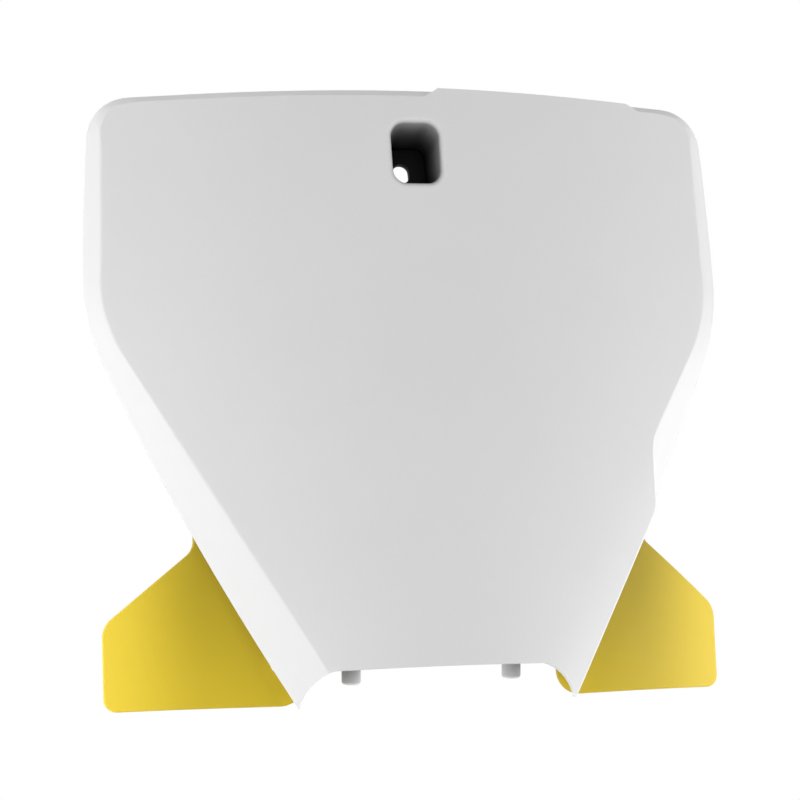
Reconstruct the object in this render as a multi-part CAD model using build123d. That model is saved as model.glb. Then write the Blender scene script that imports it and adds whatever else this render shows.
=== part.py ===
from build123d import *
import math
import os

# Front board of a racing motorbike. It is drawn upright and leaned back at the end.
# While drawn: X to the viewer's right, Y to the back, Z up the middle of the face from its bottom edge.

# board
WALL = 2.5                # thickness of every moulded wall
LEAN = 14.0               # degrees that the face leans back when mounted
FACE_HEIGHT = 228.1       # bottom edge to top edge, on the centre line
TOP_ARCH = 3.2            # the top edge is this much lower at its corners
CROWN_TAN = 2.3           # tangent of the half angle of the cone that the face is part of
CREASE_X = 124.2          # half width of the face at its widest
CREASE_Z = 138.4          # height of the widest place
CREASE_SLANT = 30.0       # degrees that the lower edges of the face slant inwards
CREASE_TOP_X = 121.7      # half width of the face at its top
BEVEL = 33.0              # degrees that the side bevels fall back
RIM_Y = 18.8              # depth of the rim at its deepest
RIM_Z = 94.0              # height where the rim is deepest
RIM_RADIUS = 1400.0       # the rim is an arc of this radius, seen from the side
SIDE_RADIUS = 86.0        # rounding of the side corners
TOP_RADIUS = 12.0         # rounding of the top corners, at the crease
TOP_RADIUS_GROWTH = 0.76  # its growth for each mm of depth
CREASE_ROUND = 2.4        # rounding along the creases
BAND = 3.0                # the top edge falls back in a band this high and this deep, round its corners too
EDGE_ROUND = 0.6          # rounding of the wings' edges
FREE_ROUND = 1.0          # rounding of the flap's free edge

# raised stretch of the top edge
RAISE_X0 = 11.9           # from here
RAISE_X1 = 93.0           # to here
RAISE_0 = 0.6             # height above the rest of the edge where it begins
RAISE_1 = -0.2            # and where it ends
RAISE_RAMP = 6.8          # length of the sloping ends

# legs below the face, and the gap between them
LEG_OUT = 10.2            # the gap's sides stand this far outside the foot of the crease
LEG_RADIUS = 17.5         # rounding of the gap's upper corners
LEG_RISE = 0.5            # those corners are drawn to this far above the bottom edge
LEG_LENGTH = 13.0         # the legs end this far below the bottom edge

# hose flap on the viewer's right, where the face runs on over the missing bevel
FLAP_OUT = 16.6           # its upright free edge is this far outside the crease at its lower end
FLAP_Z = 59.5             # the edge turns inwards here
FLAP_SLANT = 29.0         # degrees of the slanting edge below
FLAP_RADIUS = 12.0        # rounding of the turn
FLAP_LEAD = 8.0           # a line from this far inside the widest place leads into the upright edge
FLAP_LEAD_DROP = 2.3      # which it meets this far below the crease
FLAP_LEAD_RADIUS = 25.0   # rounding there
FLAP_TAN = 0.9            # tangent of the half angle of the flap's own cone

# screw pocket
POCKET_W = 19.8
POCKET_H = 24.4
POCKET_X = 1.5            # its middle is this far to the right of the slot
POCKET_DROP = 26.0        # top edge to its middle
POCKET_RADIUS = 6.0
POCKET_DEPTH = 20.0       # face to screw seat
POCKET_TILT = 9.0         # degrees that it dips towards the back
POCKET_DRAFT = 4.5        # degrees
POCKET_LIP = 2.2          # rounding of its mouth
SLOT_W = 6.5
SLOT_H = 8.5

# pegs that stand in the mudguard
PEG_IN = 12.3             # distance inside the foot of the crease
PEG_Y = 18.5              # depth of the peg's root behind the bottom edge
PEG_Z = 5.0               # height of the peg's root
PEG_R = 3.7
PEG_LENGTH = 9.3
PEG_ROUND = 1.2
TONGUE_W = 12.0
TONGUE_T = 3.0
GUSSET_T = 2.5
GUSSET_H = 22.0

# wings, measured sideways from the foot of the crease
WING_T = 2.5
WING_BEND = 200.0         # radius of the sheet
WING_X = -4.2             # where its front is foremost
WING_AHEAD = 0.2          # its lower edge is this far in front of the rim's greatest depth
WING_TILT = 4.6           # degrees that the sheet comes forward going up
WING_OUT = 80.2           # outer edge
WING_OUT_TOP = 22.6       # upper outer corner
WING_OUT_LOW = -9.8       # lower outer corner
WING_IN = 6.0             # inner end
WING_IN_LOW = -11.6       # lower edge at the inner end
WING_NECK_X = 46.4        # outer edge of the tongue behind the leg
WING_NECK_Z = 49.3        # where the upper edge would meet it
WING_TOP = 66.0           # top of the tongue
WING_TOP_IN = 27.8        # inner corner of the tongue
WING_CORNER = 5.0
WING_OUT_RADIUS = 9.0     # rounding of the upper outer corner
WING_NECK_RADIUS = 7.0
WING_END_RADIUS = 9.4

# stakes on the board that hold the wings: distance from the foot of the crease, and height
STAKES = ((14.8, 5.0), (33.0, 46.0))
STAKE_R = 2.5
STAKE_BOSS_R = 4.5
STAKE_HEAD_R = 4.5
STAKE_HEAD_T = 1.8
FIT = 0.2                 # clearance between board and wing

FAR = 80.0                # reach of cutting bodies past the part
AHEAD = (Align.CENTER, Align.CENTER, Align.MIN)

# the cone of the face
slant = math.radians(CREASE_SLANT)
half = math.atan(CROWN_TAN)
apex = Vector(0, 0, CREASE_Z - CREASE_X / math.tan(slant))
axis = Vector(0, math.sin(half), math.cos(half))
reach = FACE_HEIGHT - apex.Z
foot = CREASE_X - CREASE_Z * math.tan(slant)


def cone(tangent, axis, side, inset):
    """Body behind a cone about the axis, its surface moved in by inset, with its seam turned to side."""
    tip = apex + axis * (inset / math.sin(math.atan(tangent)))
    return Solid.make_cone(0, reach * tangent, reach, Plane(tip, side, axis))


def crown(inset):
    return cone(CROWN_TAN, axis, Vector(0, axis.Z, -axis.Y), inset)


def face_y(x, z):
    """Depth of the face at a place in the front view."""
    a = CROWN_TAN ** 2 - 1
    b = CROWN_TAN * (z - apex.Z)
    return (math.sqrt(b * b + a * x * x) - b) / a


def face_point(x, z):
    return Vector(x, face_y(x, z), z)


def front(y):
    """Front view plane at a depth."""
    return Plane((0, y, 0), (1, 0, 0), (0, -1, 0))


def prism(sketch):
    """Front view sketch, right through the part."""
    return extrude(front(FAR) * sketch, 2 * FAR, (0, -1, 0))


# planes of the right hand bevels
corner = face_point(CREASE_X, CREASE_Z)
bevel = math.radians(BEVEL)
fall = Vector(math.cos(slant) * math.cos(bevel), math.sin(bevel), -math.sin(slant) * math.cos(bevel))
low_normal = fall.cross(corner - apex).normalized()
fall = Vector(math.cos(bevel), math.sin(bevel), 0)
high_normal = fall.cross(face_point(CREASE_TOP_X, FACE_HEIGHT - TOP_ARCH) - corner).normalized()


def trace(normal, y, inset):
    """Line a*x + b*z = c in which a bevel plane, moved in by inset, cuts the front view plane at y."""
    return normal.X, normal.Z, normal.dot(corner) - inset - normal.Y * y


def meet(first, second):
    det = first[0] * second[1] - second[0] * first[1]
    x = (first[2] * second[1] - second[2] * first[1]) / det
    z = (first[0] * second[2] - second[0] * first[2]) / det
    return x, z


def outline(y, inset):
    """Front view outline of the bevels at a depth."""
    high = trace(high_normal, y, inset)
    low = trace(low_normal, y, inset)
    top = FACE_HEIGHT - inset
    x_top, z_top = meet(high, (0, 1, top - TOP_ARCH))
    x_mid, z_mid = meet(high, low)
    x_low, z_low = meet(low, (0, 1, -LEG_LENGTH - 10))
    right = ((x_top, z_top), (x_mid, z_mid), (x_low, z_low))
    left = [(-x, z) for x, z in reversed(right)]
    sheet = make_face(Polyline(*right, *left) + ThreePointArc(left[-1], (0, top), right[0]))
    moved = inset / math.sin(bevel)
    top_depth = y - face_y(CREASE_TOP_X, FACE_HEIGHT)
    top_radius = max(TOP_RADIUS + top_depth * TOP_RADIUS_GROWTH - moved, 0.5)
    sheet = fillet(sheet.vertices().group_by(Axis.Y)[-1], top_radius)
    sheet = fillet(sheet.vertices().filter_by(lambda v: abs(v.Y - z_mid) < 0.001), SIDE_RADIUS - moved)
    return front(y) * sheet


def envelope(inset):
    """Body inside the face and the bevels, all moved in by inset."""
    return crown(inset) & loft([outline(-2.0, inset), outline(RIM_Y + 5, inset)], ruled=True)


def top_z(x):
    """Height of the top edge."""
    return FACE_HEIGHT - TOP_ARCH * (x / CREASE_TOP_X) ** 2


def band_line(share):
    """Line along the top band and round its corners, at a share of the way from the face to the top."""
    middle_x = CREASE_TOP_X - TOP_RADIUS
    middle_z = top_z(middle_x) - BAND - TOP_RADIUS
    outer = 1.2 * BAND / math.tan(bevel)
    right = []
    for i in range(1, 5):
        x = i * 0.2 * middle_x
        right.append(face_point(x, top_z(x) - BAND) + Vector(0, BAND, BAND) * share)
    for turn in range(0, 71, 14):
        side = math.sin(math.radians(turn))
        height = math.cos(math.radians(turn))
        x = middle_x + TOP_RADIUS * side
        z = middle_z + TOP_RADIUS * height
        across = Vector(outer * side, BAND, BAND * height) * share
        right.append(face_point(x, z) + across)
    right.append(face_point(x + BAND * height, z - BAND * side) + across)
    right.append(face_point(x + 3 * BAND * height, z - 3 * BAND * side) + across)
    left = [Vector(-p.X, p.Y, p.Z) for p in reversed(right)]
    centre = Vector(0, BAND * share, top_z(0) + BAND * (share - 1))
    return Spline(*left, centre, *right)


# board: rounded along the crease, hollowed, and cut off along the rim
low = -LEG_LENGTH - 10
within_rim = Pos(0, RIM_Y - RIM_RADIUS, RIM_Z) * Rot(0, 90, 0) * Cylinder(RIM_RADIUS, 4 * CREASE_X)
board = envelope(0)
face = board.faces().filter_by(GeomType.CONE)[0]
board = fillet(face.edges().filter_by(lambda e: (e @ 0.5).Z > low + 0.1), CREASE_ROUND)
band = Face.make_surface_from_curves(band_line(-0.5), band_line(2))
board -= extrude(band, 4 * BAND, (0, -1, 0))
board = (board - envelope(WALL)) & within_rim

# raised stretch of the top edge: the face carried straight up
ramp_0 = RAISE_X0 - RAISE_RAMP
ramp_1 = RAISE_X1 + RAISE_RAMP
middle = (RAISE_X0 + RAISE_X1) / 2
stretch = Polyline(
    (RAISE_X1, top_z(RAISE_X1) + RAISE_1),
    (ramp_1, top_z(ramp_1) - 1.2 * BAND),
    (ramp_1, top_z(ramp_1) - 2 * BAND),
    (ramp_0, top_z(ramp_0) - 2 * BAND),
    (ramp_0, top_z(ramp_0) - 1.2 * BAND),
    (RAISE_X0, top_z(RAISE_X0) + RAISE_0),
)
stretch += ThreePointArc(stretch @ 1, (middle, top_z(middle) + (RAISE_0 + RAISE_1) / 2), stretch @ 0)
stretch = make_face(stretch)
board += (crown(0) - crown(BAND + 1)) & prism(stretch) - envelope(WALL)

# hose flap: a tighter cone with the same tip, which runs on smoothly from the right hand crease
line = (corner - apex).normalized()
inward = (axis - line * axis.dot(line)).normalized()
outward = inward.cross(line)
flap_half = math.atan(FLAP_TAN)
flap_axis = line * math.cos(flap_half) + inward * math.sin(flap_half)
flap_x = foot + FLAP_Z * math.tan(slant) + FLAP_OUT
flap_top = (flap_x - foot) / math.tan(slant) - FLAP_LEAD_DROP
flap_low_x = flap_x - (FLAP_Z - low) * math.tan(math.radians(FLAP_SLANT))


def past_crease(inset):
    """Everything outside the right hand crease, moved in by inset."""
    side = Plane(apex - outward * inset, line, outward)
    return side * Box(2 * reach, 2 * reach, FAR, align=AHEAD)


flap_body = cone(FLAP_TAN, flap_axis, inward, 0) & past_crease(0)
flap = flap_body - cone(FLAP_TAN, flap_axis, inward, WALL)
flap += (crown(0) - crown(WALL)) & (past_crease(2 * WALL) - past_crease(0))
side_wall = Pos(flap_x, CREASE_Z) * Rectangle(WALL, CREASE_Z - FLAP_Z, align=(Align.MAX, Align.MAX))
flap += flap_body & prism(side_wall)
sketch = Polygon(
    (0, CREASE_Z),
    (CREASE_X - FLAP_LEAD, CREASE_Z),
    (flap_x, flap_top),
    (flap_x, FLAP_Z),
    (flap_low_x, low),
    (0, low),
    align=None,
)
sketch = fillet(sketch.vertices().sort_by_distance((flap_x, FLAP_Z, 0))[0], FLAP_RADIUS)
sketch = fillet(sketch.vertices().sort_by_distance((flap_x, flap_top, 0))[0], FLAP_LEAD_RADIUS)
flap = flap & prism(sketch) & within_rim
flap_face = flap.faces().filter_by(lambda f: f.normal_at().Y < -0.5).sort_by(Axis.X)[-1]
free = flap_face.edges().filter_by(lambda e: e.geom_type != GeomType.LINE and (e @ 0.5).Z > low + 0.1)
flap = fillet(free, FREE_ROUND)
below = Pos(0, FLAP_Z) * Rectangle(2 * flap_x, FLAP_Z - low, align=(Align.MIN, Align.MAX))
under = Pos(0, CREASE_Z) * Rectangle(flap_x - WALL / 2, CREASE_Z - low, align=(Align.MIN, Align.MAX))
board -= prism(below + under) & past_crease(2 * WALL)
board += flap

# gap between the legs, and the legs' lower ends
gap = Rectangle(2 * (foot + LEG_OUT), 2 * FAR)
gap = Pos(0, LEG_RISE - FAR) * fillet(gap.vertices().group_by(Axis.Y)[-1], LEG_RADIUS)
gap &= Pos(0, -FAR) * Rectangle(4 * CREASE_X, 2 * FAR)
board -= prism(gap)
board -= Pos(0, 0, -LEG_LENGTH) * Rot(180, 0, 0) * Box(4 * CREASE_X, 4 * FAR, FAR, align=AHEAD)

# screw pocket, drafted, with a slotted seat at its end
tilt = math.radians(POCKET_TILT)
into = Vector(0, math.cos(tilt), -math.sin(tilt))
mouth = Plane((0, 0, FACE_HEIGHT - POCKET_DROP), (1, 0, 0), into)


def pocket(grow, start, end):
    """Drafted body of the pocket, grown on all sides, from one depth to another."""
    size = 2 * (grow - start * math.tan(math.radians(POCKET_DRAFT)))
    sheet = RectangleRounded(POCKET_W + size, POCKET_H + size, POCKET_RADIUS + grow)
    return extrude(mouth.offset(start) * Pos(POCKET_X, 0) * sheet, end - start, taper=POCKET_DRAFT)


board += pocket(WALL, 0, POCKET_DEPTH + WALL) & crown(WALL / 2)
board -= pocket(0, -5, POCKET_DEPTH)
front_face = board.faces().filter_by(GeomType.CONE).sort_by(SortBy.AREA)[-2:].sort_by(Axis.Y)[0]
board = fillet(front_face.inner_wires()[0].edges(), POCKET_LIP)
slot = Rot(0, 0, 90) * SlotOverall(SLOT_H, SLOT_W)
board -= extrude(mouth.offset(POCKET_DEPTH - 1) * slot, 2 * WALL + 2)

# pegs: upright once the board leans, each on a tongue with a gusset behind the bottom edge
lean = math.radians(LEAN)
up = Vector(0, -math.sin(lean), math.cos(lean))
behind_face = crown(WALL / 2)
for x in (PEG_IN - foot, foot - PEG_IN):
    root = Plane((x, PEG_Y, PEG_Z), (1, 0, 0), up)
    peg = Cylinder(PEG_R, PEG_LENGTH, align=(Align.CENTER, Align.CENTER, Align.MAX))
    peg = fillet(peg.edges().sort_by(Axis.Z)[0], PEG_ROUND)
    back = PEG_R + 2
    tongue = Circle(TONGUE_W / 2) + Rectangle(TONGUE_W, PEG_Y + back, align=(Align.CENTER, Align.MAX))
    tongue = extrude(Pos(0, back - TONGUE_W / 2) * tongue, TONGUE_T)
    gusset = Polygon((0, 0), (-2 * PEG_Y, 0), (-2 * PEG_Y, 2 * GUSSET_H), (-PEG_Y, GUSSET_H), align=None)
    gusset = extrude(Plane.YZ * gusset, GUSSET_T / 2, both=True)
    board += root * (peg + tongue + gusset) & behind_face

# wings: one bent sheet for each side, cut to its outline
wing_corners = (
    (WING_IN, WING_IN_LOW, WING_END_RADIUS),
    (WING_OUT, WING_OUT_LOW, WING_CORNER),
    (WING_OUT, WING_OUT_TOP, WING_OUT_RADIUS),
    (WING_NECK_X, WING_NECK_Z, WING_NECK_RADIUS),
    (WING_NECK_X, WING_TOP, WING_CORNER),
    (WING_TOP_IN, WING_TOP, WING_CORNER),
)
sketch = Polygon(*[(x, z) for x, z, radius in wing_corners], (WING_IN, 0), align=None)
for x, z, radius in wing_corners:
    sketch = fillet(sketch.vertices().sort_by_distance((x, z, 0))[0], radius)
wing_y = RIM_Y - WING_AHEAD
wing_place = Pos(foot + WING_X, wing_y, WING_OUT_LOW) * Rot(WING_TILT, 0, 0)


def bent(radius):
    """Body behind the bent sheet of the right hand wing."""
    return wing_place * Pos(0, WING_BEND, 0) * Cylinder(radius, 4 * FAR)


wing = (bent(WING_BEND) - bent(WING_BEND - WING_T)) & prism(Pos(foot, 0) * sketch)
wing = fillet(wing.edges().filter_by(lambda e: e.length > 1), EDGE_ROUND)

# stakes: a boss in front of the wing, a shank through it and a head behind it
for x, z in STAKES:
    place = front(FAR) * Pos(foot + x, z)
    wing -= place * Cylinder(STAKE_R + FIT, 4 * FAR)
    bend = WING_BEND - math.sqrt((WING_BEND - WING_T) ** 2 - (x - WING_X) ** 2)
    wing_back = wing_y + bend - (z - WING_OUT_LOW) * math.tan(math.radians(WING_TILT))
    boss = place * Cylinder(STAKE_BOSS_R, 4 * FAR) - bent(WING_BEND + FIT)
    shank = place * Cylinder(STAKE_R, 4 * FAR)
    head = place * Cylinder(STAKE_HEAD_R, 4 * FAR) & bent(WING_BEND - WING_T - FIT)
    end = front(wing_back + STAKE_HEAD_T) * Box(4 * CREASE_X, 4 * CREASE_X, 2 * FAR, align=AHEAD)
    stake = (boss + shank + head) & end
    board += stake & cone(FLAP_TAN, flap_axis, inward, WALL / 2)
    board += mirror(stake, Plane.YZ) & envelope(WALL / 2)

# the board leans back about the middle of its screw seat, which becomes the origin
seat = mouth.origin + into * POCKET_DEPTH
stand = Rot(-LEAN, 0, 0) * Pos(-seat.X, -seat.Y, -seat.Z)
os.makedirs("parts", exist_ok=True)
export_step(stand * board, "parts/number_board.step")
export_step(stand * wing, "parts/right_wing.step")
export_step(stand * mirror(wing, Plane.YZ), "parts/left_wing.step")
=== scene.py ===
import bpy
import bmesh
from mathutils import Matrix, Vector

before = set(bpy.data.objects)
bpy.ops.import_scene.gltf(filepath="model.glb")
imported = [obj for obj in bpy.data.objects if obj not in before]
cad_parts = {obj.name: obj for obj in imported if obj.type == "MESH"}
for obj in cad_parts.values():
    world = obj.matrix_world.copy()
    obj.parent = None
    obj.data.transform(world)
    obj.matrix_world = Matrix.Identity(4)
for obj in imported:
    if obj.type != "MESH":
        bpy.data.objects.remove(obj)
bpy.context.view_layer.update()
scene = bpy.context.scene
scene.view_settings.view_transform = "Standard"

# camera, from the photograph's viewing angle
CAMERA_PLACE = Vector((-0.23821, -0.904106, -0.046984))
CAMERA_RIGHT = Vector((0.967104, -0.254367, 0.002508))
CAMERA_UP = Vector((0.009540, 0.046119, 0.998890))
CAMERA_LENS = 104.351     # mm
CAMERA_SENSOR = 36.0      # mm

camera_data = bpy.data.cameras.new("camera")
camera_data.sensor_width = CAMERA_SENSOR
camera_data.lens = CAMERA_LENS
camera = bpy.data.objects.new("camera", camera_data)
scene.collection.objects.link(camera)
backwards = CAMERA_RIGHT.cross(CAMERA_UP)
turn = Matrix((CAMERA_RIGHT, CAMERA_UP, backwards)).transposed()
camera.matrix_world = Matrix.Translation(CAMERA_PLACE) @ turn.to_4x4()
scene.camera = camera


class Nodes:
    """Short way to fill a node tree."""

    def __init__(self, tree):
        self.tree = tree
        tree.nodes.clear()

    def add(self, kind, settings=None, **inputs):
        """Add a node. An input is named with _ for a space, or _ and its number."""
        node = self.tree.nodes.new(kind)
        for key, value in (settings or {}).items():
            setattr(node, key, value)
        for key, value in inputs.items():
            key = int(key[1:]) if key[0] == "_" else key.replace("_", " ")
            if isinstance(value, bpy.types.NodeSocket):
                self.tree.links.new(value, node.inputs[key])
            else:
                node.inputs[key].default_value = value
        return node

    def math(self, operation, first, second=0.0, third=0.0):
        node = self.add("ShaderNodeMath", {"operation": operation}, _0=first, _1=second, _2=third)
        return node.outputs[0]

    def vector(self, operation, first, second=(0, 0, 0)):
        node = self.add("ShaderNodeVectorMath", {"operation": operation}, _0=first, _1=second)
        return node.outputs

    def ramp(self, value, low, high, to_low=0.0, to_high=1.0):
        """Smooth step between two values."""
        settings = {"interpolation_type": "SMOOTHSTEP"}
        node = self.add("ShaderNodeMapRange", settings, Value=value, From_Min=low, From_Max=high,
                        To_Min=to_low, To_Max=to_high)
        return node.outputs["Result"]

    def noise(self, place, scale, detail):
        node = self.add("ShaderNodeTexNoise", Vector=place, Scale=scale, Detail=detail, Roughness=0.5)
        return node.outputs["Fac"]

    def seen(self):
        """1 for rays that show the background: from the camera, a gloss or a clear body."""
        light = self.add("ShaderNodeLightPath").outputs
        bounced = self.math("MAXIMUM", light["Is Glossy Ray"], light["Is Transmission Ray"])
        return self.math("MAXIMUM", light["Is Camera Ray"], bounced)


# mould texture: slow flow marks, a fine grain and specks, as noise scales per metre
FLOW_SCALE = 14.0
FINE_SCALE = 900.0
SPECK_SCALE = 2600.0
NOISE_LOW = 0.3
NOISE_HIGH = 0.7
TONE_FLOW = 0.7           # share of the flow marks in the tone
GLOSS_FLOW = 0.5          # and in the gloss
GLOSS_SPREAD = 0.05
SPECK_SHARE = 0.4
GRAIN_STRENGTH = 0.05
GRAIN_DEPTH = 0.0002
PLASTIC_IOR = 1.49


class Plastic(Nodes):
    """Injection moulded plastic: uneven tone and gloss and a fine mould texture."""

    def __init__(self, name):
        self.material = bpy.data.materials.new(name)
        self.material.use_nodes = True
        super().__init__(self.material.node_tree)
        coordinates = self.add("ShaderNodeTexCoord").outputs
        self.place = coordinates["Object"]
        self.facing = coordinates["Normal"]
        self.spot = self.add("ShaderNodeSeparateXYZ", Vector=self.place).outputs
        self.side = self.math("ABSOLUTE", self.spot["X"])
        self.flow = self.noise(self.place, FLOW_SCALE, 4.0)
        self.fine = self.noise(self.place, FINE_SCALE, 2.0)
        self.speck = self.noise(self.place, SPECK_SCALE, 1.0)

    def sum(self, first, second, second_share):
        second = self.math("MULTIPLY", second, second_share)
        return self.math("ADD", self.math("MULTIPLY", first, 1.0 - second_share), second)

    def blend(self, share, first, second):
        node = self.add("ShaderNodeMix", {"data_type": "RGBA"}, _0=share, _6=first, _7=second)
        return node.outputs[2]

    def two_tones(self, deep, pale):
        uneven = self.sum(self.fine, self.flow, TONE_FLOW)
        return self.blend(self.ramp(uneven, NOISE_LOW, NOISE_HIGH), deep, pale)

    def surface(self, colour, rough, shine):
        height = self.sum(self.fine, self.speck, SPECK_SHARE)
        bump = self.add("ShaderNodeBump", Strength=GRAIN_STRENGTH, Distance=GRAIN_DEPTH, Height=height)
        uneven = self.sum(self.fine, self.flow, GLOSS_FLOW)
        gloss = self.ramp(uneven, NOISE_LOW, NOISE_HIGH, rough - GLOSS_SPREAD, rough + GLOSS_SPREAD)
        shader = self.add("ShaderNodeBsdfPrincipled", Base_Color=colour, Roughness=gloss,
                          Normal=bump.outputs[0], IOR=PLASTIC_IOR, Specular_IOR_Level=shine)
        self.add("ShaderNodeOutputMaterial", Surface=shader.outputs[0])
        return self.material


# white board: painted shade darkens the deep screw pocket towards its rear wall and darkens the pegs, which
# are in the shade of the face
WHITE = (0.80, 0.80, 0.80, 1)
WHITE_DEEP = (0.78, 0.78, 0.78, 1)
WHITE_ROUGH = 0.48
WHITE_SHINE = 0.5
SHADE = (0.004, 0.004, 0.004, 1)
SKY_REACH = 0.06          # what lies farther away casts no shade
SKY_SAMPLES = 16
SKY_POWER = 1.6
POCKET_MOUTH = (0.0015, -0.01795, 0.00762)
POCKET_OUT = (0, -0.9205, 0.3907)      # along the screw, away from its seat
POCKET_NEAR = 0.025       # the pocket's shade fades between these distances from its mouth
POCKET_FAR = 0.035
POCKET_INSIDE = -0.001    # and between these, where a surface turns away from the mouth
POCKET_OUTSIDE = 0.0015
REAR_WALL = 0.25          # extra shade on the rear wall
REAR_WALL_LOW = 0.0003    # which fades between these heights above it
REAR_WALL_HIGH = 0.002
PEG_X = 0.032
PEG_Y = -0.048
PEG_NEAR = 0.006          # a peg's shade fades between these distances from its axis
PEG_FAR = 0.012
PEG_ROOT_LOW = -0.1925    # and between these heights
PEG_ROOT_HIGH = -0.1905


def white_plastic():
    n = Plastic("white_moulded")
    sky = n.add("ShaderNodeAmbientOcclusion", {"samples": SKY_SAMPLES}, Distance=SKY_REACH).outputs["AO"]
    sky = n.math("POWER", sky, SKY_POWER)

    # share left open in the pocket: 1 on surfaces that face away from its mouth, and beyond it
    offset = n.vector("SUBTRACT", n.place, POCKET_MOUTH)["Vector"]
    turned = n.vector("DOT_PRODUCT", n.facing, offset)["Value"]
    turned = n.ramp(turned, POCKET_INSIDE, POCKET_OUTSIDE)
    beyond = n.ramp(n.vector("LENGTH", offset)["Value"], POCKET_NEAR, POCKET_FAR)
    depth = n.vector("DOT_PRODUCT", n.place, POCKET_OUT)["Value"]
    pocket = n.math("MULTIPLY", sky, n.ramp(depth, REAR_WALL_LOW, REAR_WALL_HIGH, REAR_WALL, 1.0))
    pocket = n.math("MAXIMUM", pocket, n.math("MAXIMUM", turned, beyond))

    # the same on the pegs: 1 away from their axes and above their roots
    aside = n.math("SUBTRACT", n.side, PEG_X)
    behind = n.math("SUBTRACT", n.spot["Y"], PEG_Y)
    away = n.math("SQRT", n.math("MULTIPLY_ADD", aside, aside, n.math("MULTIPLY", behind, behind)))
    above = n.ramp(n.spot["Z"], PEG_ROOT_LOW, PEG_ROOT_HIGH)
    peg = n.math("MAXIMUM", n.ramp(away, PEG_NEAR, PEG_FAR), above)
    peg = n.math("MAXIMUM", sky, peg)

    # painted shade: the base colour goes to SHADE in the pocket and on the pegs, and the gloss is dimmed there
    # too
    open_share = n.math("MINIMUM", pocket, peg)
    colour = n.blend(open_share, SHADE, n.two_tones(WHITE_DEEP, WHITE))
    return n.surface(colour, WHITE_ROUGH, n.math("MULTIPLY", open_share, WHITE_SHINE))


# yellow wings: painted shade deepens the tone from the outer edge inwards, most of all at the neck behind the
# board
YELLOW_TIP = (0.850, 0.628, 0.034, 1)
YELLOW_TIP_DEEP = (0.825, 0.608, 0.032, 1)
YELLOW_NECK_SHADED = (0.453, 0.335, 0.0130, 1)
YELLOW_NECK_SHADED_DEEP = (0.438, 0.323, 0.0122, 1)
YELLOW_ROUGH = 0.46
YELLOW_SHINE = 0.25
WING_INNER_X = 0.0852
WING_OUTER_X = 0.1242
WING_LOW_Z = -0.2238
WING_HIGH_Z = -0.1433
WING_LOW_SHADE_SHARE = 0.37     # share of the painted shade that is left at the lower edge


def yellow_plastic():
    n = Plastic("yellow_moulded")
    shade_inward = n.ramp(n.side, WING_INNER_X, WING_OUTER_X, 1.0, 0.0)
    shade_upward = n.ramp(n.spot["Z"], WING_LOW_Z, WING_HIGH_Z, WING_LOW_SHADE_SHARE, 1.0)
    tip = n.two_tones(YELLOW_TIP_DEEP, YELLOW_TIP)
    shaded_neck = n.two_tones(YELLOW_NECK_SHADED_DEEP, YELLOW_NECK_SHADED)
    # painted shade: the colour blends from the lit tip tone to the shaded neck tone towards the board and
    # upwards
    colour = n.blend(n.math("MULTIPLY", shade_inward, shade_upward), tip, shaded_neck)
    return n.surface(colour, YELLOW_ROUGH, YELLOW_SHINE)


white = white_plastic()
yellow = yellow_plastic()
looks = {"number_board": white, "left_wing": yellow, "right_wing": yellow}
for name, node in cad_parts.items():
    node.data.materials.clear()
    node.data.materials.append(looks[name])

# floor, well below the part, which is carried by its mount; it fades to plain white away from the middle
FLOOR_Z = -0.50
FLOOR_R = 8.0
FLOOR_SEGMENTS = 96
FLOOR_COLOUR = (0.9, 0.9, 0.9, 1)
FADE_NEAR = 0.5
FADE_FAR = 1.1
PLAIN_WHITE = (1, 1, 1, 1)

mesh = bpy.data.meshes.new("floor")
disc = bmesh.new()
bmesh.ops.create_circle(disc, cap_ends=True, segments=FLOOR_SEGMENTS, radius=FLOOR_R)
disc.to_mesh(mesh)
disc.free()
floor = bpy.data.objects.new("floor", mesh)
floor.location.z = FLOOR_Z
scene.collection.objects.link(floor)

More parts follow.
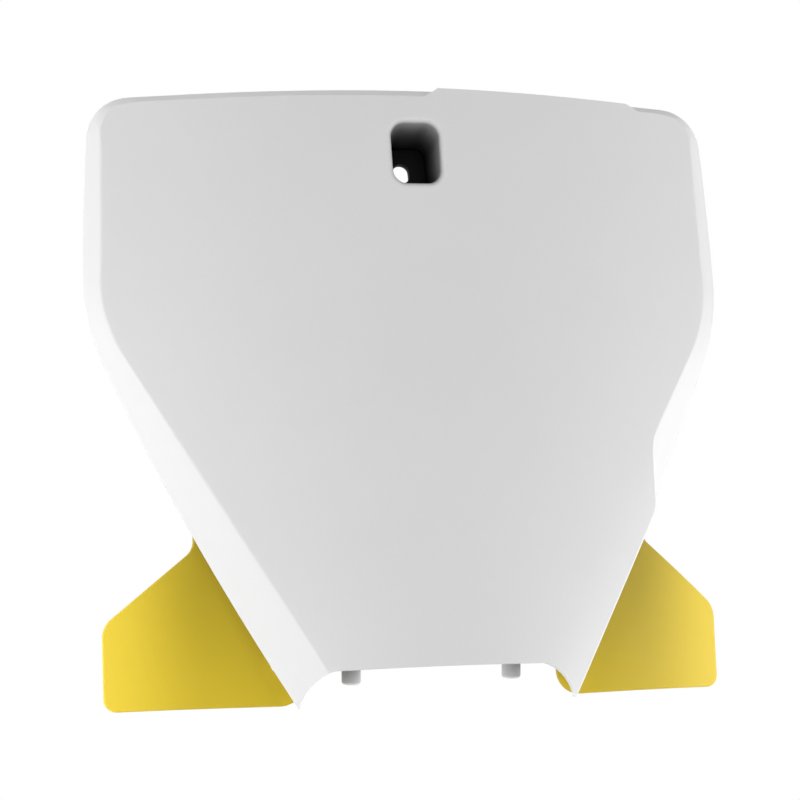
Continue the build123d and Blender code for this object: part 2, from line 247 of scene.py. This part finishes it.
material = bpy.data.materials.new("floor_white")
material.use_nodes = True
n = Nodes(material.node_tree)
place = n.add("ShaderNodeTexCoord").outputs["Object"]
fade = n.ramp(n.vector("LENGTH", place)["Value"], FADE_NEAR, FADE_FAR)
paper = n.add("ShaderNodeBsdfDiffuse", Color=FLOOR_COLOUR, Roughness=0.0)
glow = n.add("ShaderNodeEmission", Color=PLAIN_WHITE, Strength=1.0)
share = n.math("MULTIPLY", n.seen(), fade)
mixed = n.add("ShaderNodeMixShader", _0=share, _1=paper.outputs[0], _2=glow.outputs[0])
n.add("ShaderNodeOutputMaterial", Surface=mixed.outputs[0])
floor.data.materials.append(material)

# world: plain white to the eye, soft light to the part, weaker from above
LEVEL_HORIZON = 0.545
LEVEL_TOP = 0.305

world = bpy.data.worlds.new("studio")
scene.world = world
world.use_nodes = True
n = Nodes(world.node_tree)
way = n.add("ShaderNodeTexCoord").outputs["Generated"]
height = n.add("ShaderNodeSeparateXYZ", Vector=way).outputs["Z"]
level = n.ramp(height, 0.0, 1.0, LEVEL_HORIZON, LEVEL_TOP)
soft = n.add("ShaderNodeBackground", Color=PLAIN_WHITE, Strength=level)
plain = n.add("ShaderNodeBackground", Color=PLAIN_WHITE, Strength=1.0)
mixed = n.add("ShaderNodeMixShader", _0=n.seen(), _1=soft.outputs[0], _2=plain.outputs[0])
n.add("ShaderNodeOutputWorld", Surface=mixed.outputs[0])

# square lamps, turned to the middle of the part: name, place, watts
LAMP_SIZE = 0.5
LAMP_TARGET = Vector((0, -0.04, -0.1))
LAMPS = (
    ("front_left", (-0.87, -0.55, -0.1), 3.1),
    ("side_left", (-1.0, -0.05, -0.1), 4.3),
    ("front_right", (0.87, -0.55, -0.1), 3.1),
    ("side_right", (1.0, -0.05, -0.42), 6.2),
    ("top", (0, 0.35, 1.1), 1.5),
)
for name, place, power in LAMPS:
    data = bpy.data.lights.new(name, "AREA")
    data.shape = "SQUARE"
    data.size = LAMP_SIZE
    data.energy = power
    lamp = bpy.data.objects.new(name, data)
    lamp.location = place
    lamp.rotation_euler = (LAMP_TARGET - Vector(place)).to_track_quat("-Z", "Y").to_euler()
    scene.collection.objects.link(lamp)
